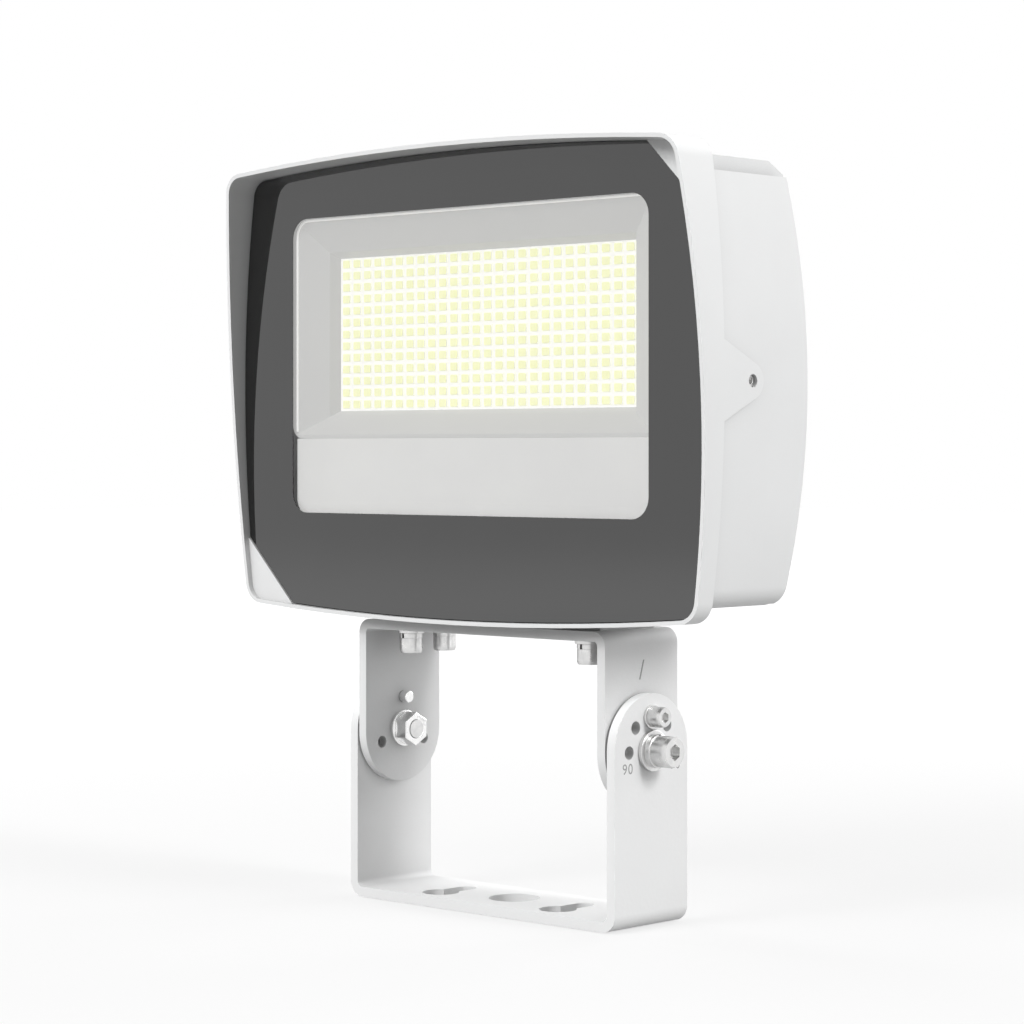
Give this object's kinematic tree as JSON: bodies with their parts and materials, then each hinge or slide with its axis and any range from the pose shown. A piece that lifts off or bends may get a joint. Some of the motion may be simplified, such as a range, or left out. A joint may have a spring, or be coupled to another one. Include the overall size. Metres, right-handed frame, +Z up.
{
  "type": "flood light",
  "caption": "White outdoor flood light: a bowed, finned housing with a hooded glass front and an LED array, on a folded yoke that tilts and is locked in steps.",
  "frame": {"origin": "centre of the yoke's middle hole, on the underside of the yoke's base", "axes": "+Z up along the middle hole's axis, -Y the way the lamp shines, +X to the right of someone who faces the glass"},
  "size_m": [0.276, 0.0979, 0.325],
  "materials": {
    "bracket_paint": "white powder coat",
    "housing_paint": "white powder coat",
    "frame_paint": "white powder coat",
    "stainless": "turned and brushed",
    "clear_glass": "polished",
    "black_print": "fired black print",
    "seal_rubber": "matte",
    "tray_white": "satin white",
    "board_white": "white solder mask",
    "chip_phosphor": "phosphor gel",
    "driver_case": "matte",
    "lead_sleeve": "satin",
    "gland_plastic": "satin black"
  },
  "bodies": {
    "yoke": {"yoke_bracket": "bracket_paint", "pivot_bolts": "stainless", "pivot_flat_washers": "stainless", "pivot_spring_washers": "stainless", "pivot_bearing_washers": "stainless", "pivot_inner_washers": "stainless", "pivot_nuts": "stainless"},
    "head": {"upper_bracket": "bracket_paint", "rear_housing": "housing_paint", "front_frame": "frame_paint", "index_pins": "stainless", "bracket_screws": "stainless", "bracket_flat_washers": "stainless", "bracket_spring_washers": "stainless", "ear_screws": "stainless", "board_screws": "stainless", "driver_screws": "stainless", "front_glass": "clear_glass", "glass_mask": "black_print", "glass_seal": "seal_rubber", "housing_gasket": "seal_rubber", "gland_seal": "seal_rubber", "reflector_tray": "tray_white", "lower_panel": "tray_white", "led_board": "board_white", "led_chips": "chip_phosphor", "led_driver": "driver_case", "board_leads": "lead_sleeve", "gland_body": "gland_plastic", "gland_nut": "gland_plastic", "breather_vent": "gland_plastic"},
    "lock_right": {"lock_screw_right": "stainless", "lock_washers_right": "stainless"},
    "lock_left": {"lock_screw_left": "stainless", "lock_washers_left": "stainless"}
  },
  "joints": [
    {"name": "tilt", "type": "hinge", "parent": "yoke", "child": "head", "pos_m": [0, 0, 0.073], "axis": [1, 0, 0], "range_deg": [-90, 90]},
    {"name": "lock_right_pull", "type": "slide", "parent": "yoke", "child": "lock_right", "axis": [1, 0, 0], "range_m": [0, 0.012]},
    {"name": "lock_left_pull", "type": "slide", "parent": "yoke", "child": "lock_left", "axis": [-1, 0, 0], "range_m": [0, 0.012]}
  ]
}
